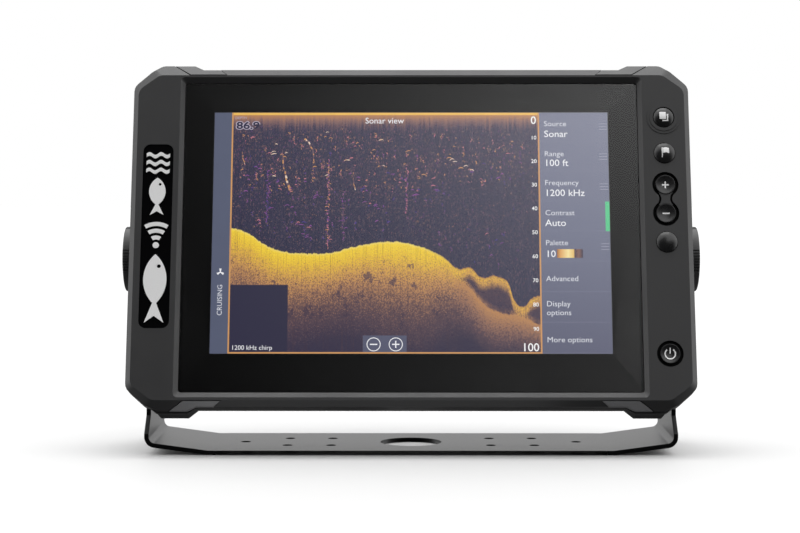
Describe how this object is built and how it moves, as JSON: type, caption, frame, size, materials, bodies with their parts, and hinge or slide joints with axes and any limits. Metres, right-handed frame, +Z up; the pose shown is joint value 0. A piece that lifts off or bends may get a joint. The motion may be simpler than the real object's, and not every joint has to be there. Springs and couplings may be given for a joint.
{
  "type": "fish finder",
  "caption": "Fish finder with a wide touch screen in an octagonal bezel with a key column, tilting in a bent steel bracket with two clamp knobs.",
  "frame": {"origin": "centre of the cable hole, on the underside of the bracket's base plate", "axes": "+X to the right as a person faces the screen, +Y away from that person, +Z up"},
  "size_m": [0.3204, 0.0933, 0.2115],
  "materials": {
    "bracket_paint": "satin black powder coat",
    "ratchet_plastic": "moulded nylon",
    "case_plastic": "fine spark-eroded texture",
    "clip_plastic": "fine texture, a shade lighter",
    "cover_glass": "polished",
    "glass_ink": "screen-printed black",
    "screen": "lit picture",
    "stainless": "satin",
    "seal_rubber": "soft silicone",
    "cast_aluminium": "as cast",
    "board_green": "solder mask",
    "chip_black": "moulded epoxy",
    "brass": "machined",
    "antenna_ceramic": "fired",
    "ribbon_film": "polyimide film",
    "key_plastic": "gloss, with white marks",
    "emblem_white": "satin",
    "socket_plastic": "glass-filled nylon",
    "label_film": "satin film",
    "washer_nylon": "natural nylon",
    "knob_plastic": "satin moulded"
  },
  "bodies": {
    "bracket": {"bracket_base": "bracket_paint", "bracket_arms": "bracket_paint", "arm_ratchets": "ratchet_plastic"},
    "head": {"front_bezel": "case_plastic", "rear_housing": "case_plastic", "corner_clips": "clip_plastic", "cover_glass": "cover_glass", "glass_mask": "glass_ink", "lcd_panel": "screen", "lcd_frame": "stainless", "display_gasket": "seal_rubber", "case_gasket": "seal_rubber", "mid_chassis": "cast_aluminium", "main_board": "board_green", "board_standoffs": "brass", "board_components": "chip_black", "heat_block": "cast_aluminium", "gps_antenna": "antenna_ceramic", "buzzer": "chip_black", "keypad_board": "board_green", "dome_switches": "stainless", "keypad_mat": "seal_rubber", "zoom_bridge": "case_plastic", "badge_plate": "glass_ink", "badge_emblem": "emblem_white", "card_socket": "stainless", "card_door_pin": "stainless", "power_socket": "socket_plastic", "sonar_socket": "socket_plastic", "network_socket": "socket_plastic", "backbone_socket": "socket_plastic", "socket_pins": "brass", "socket_nuts": "cast_aluminium", "socket_seals": "seal_rubber", "case_screws": "stainless", "board_screws": "stainless", "lcd_ribbon": "ribbon_film", "keypad_ribbon": "ribbon_film", "pivot_inserts": "brass", "hub_ratchets": "ratchet_plastic", "rear_label": "label_film", "pressure_vent": "case_plastic"},
    "pages_key": {"pages_key": "key_plastic"},
    "waypoint_key": {"waypoint_key": "key_plastic"},
    "zoom_in_key": {"zoom_in_key": "key_plastic"},
    "zoom_out_key": {"zoom_out_key": "key_plastic"},
    "quick_key": {"quick_key": "key_plastic"},
    "power_key": {"power_key": "key_plastic"},
    "card_door": {"card_door": "case_plastic"},
    "left_washer": {"left_washer": "washer_nylon"},
    "left_knob": {"left_knob": "knob_plastic", "left_stud": "stainless"},
    "right_washer": {"right_washer": "washer_nylon"},
    "right_knob": {"right_knob": "knob_plastic", "right_stud": "stainless"}
  },
  "joints": [
    {"name": "head_tilt", "type": "hinge", "parent": "bracket", "child": "head", "pos_m": [0, 0.006, 0.1042], "axis": [-1, 0, 0], "range_deg": [-6, 60]},
    {"name": "pages_press", "type": "slide", "parent": "head", "child": "pages_key", "axis": [0, 0.9606, -0.2778], "range_m": [0, 0.0008], "stiffness_N_per_m": 800, "springref_m": -0.0004},
    {"name": "waypoint_press", "type": "slide", "parent": "head", "child": "waypoint_key", "axis": [0, 0.9606, -0.2778], "range_m": [0, 0.0008], "stiffness_N_per_m": 800, "springref_m": -0.0004},
    {"name": "zoom_in_press", "type": "slide", "parent": "head", "child": "zoom_in_key", "axis": [0, 0.9606, -0.2778], "range_m": [0, 0.0008], "stiffness_N_per_m": 800, "springref_m": -0.0004},
    {"name": "zoom_out_press", "type": "slide", "parent": "head", "child": "zoom_out_key", "axis": [0, 0.9606, -0.2778], "range_m": [0, 0.0008], "stiffness_N_per_m": 800, "springref_m": -0.0004},
    {"name": "quick_press", "type": "slide", "parent": "head", "child": "quick_key", "axis": [0, 0.9606, -0.2778], "range_m": [0, 0.0008], "stiffness_N_per_m": 800, "springref_m": -0.0004},
    {"name": "power_press", "type": "slide", "parent": "head", "child": "power_key", "axis": [0, 0.9606, -0.2778], "range_m": [0, 0.0008], "stiffness_N_per_m": 800, "springref_m": -0.0004},
    {"name": "card_door_hinge", "type": "hinge", "parent": "head", "child": "card_door", "pos_m": [0.09, 0.02684, 0.11722], "axis": [-1, 0, 0], "range_deg": [0, 115]},
    {"name": "left_knob_travel", "type": "slide", "parent": "head", "child": "left_washer", "axis": [-1, 0, 0], "range_m": [0, 0.00375]},
    {"name": "left_knob_turn", "type": "hinge", "parent": "left_washer", "child": "left_knob", "pos_m": [-0.15, 0.006, 0.1042], "axis": [-1, 0, 0], "range_deg": [0, 1080]},
    {"name": "right_knob_travel", "type": "slide", "parent": "head", "child": "right_washer", "axis": [1, 0, 0], "range_m": [0, 0.00375]},
    {"name": "right_knob_turn", "type": "hinge", "parent": "right_washer", "child": "right_knob", "pos_m": [0.15, 0.006, 0.1042], "axis": [1, 0, 0], "range_deg": [0, 1080]}
  ],
  "couplings": [
    {"joint": "left_knob_turn", "follows": "left_knob_travel", "rad_per_m": 5026.5},
    {"joint": "right_knob_turn", "follows": "right_knob_travel", "rad_per_m": 5026.5}
  ]
}
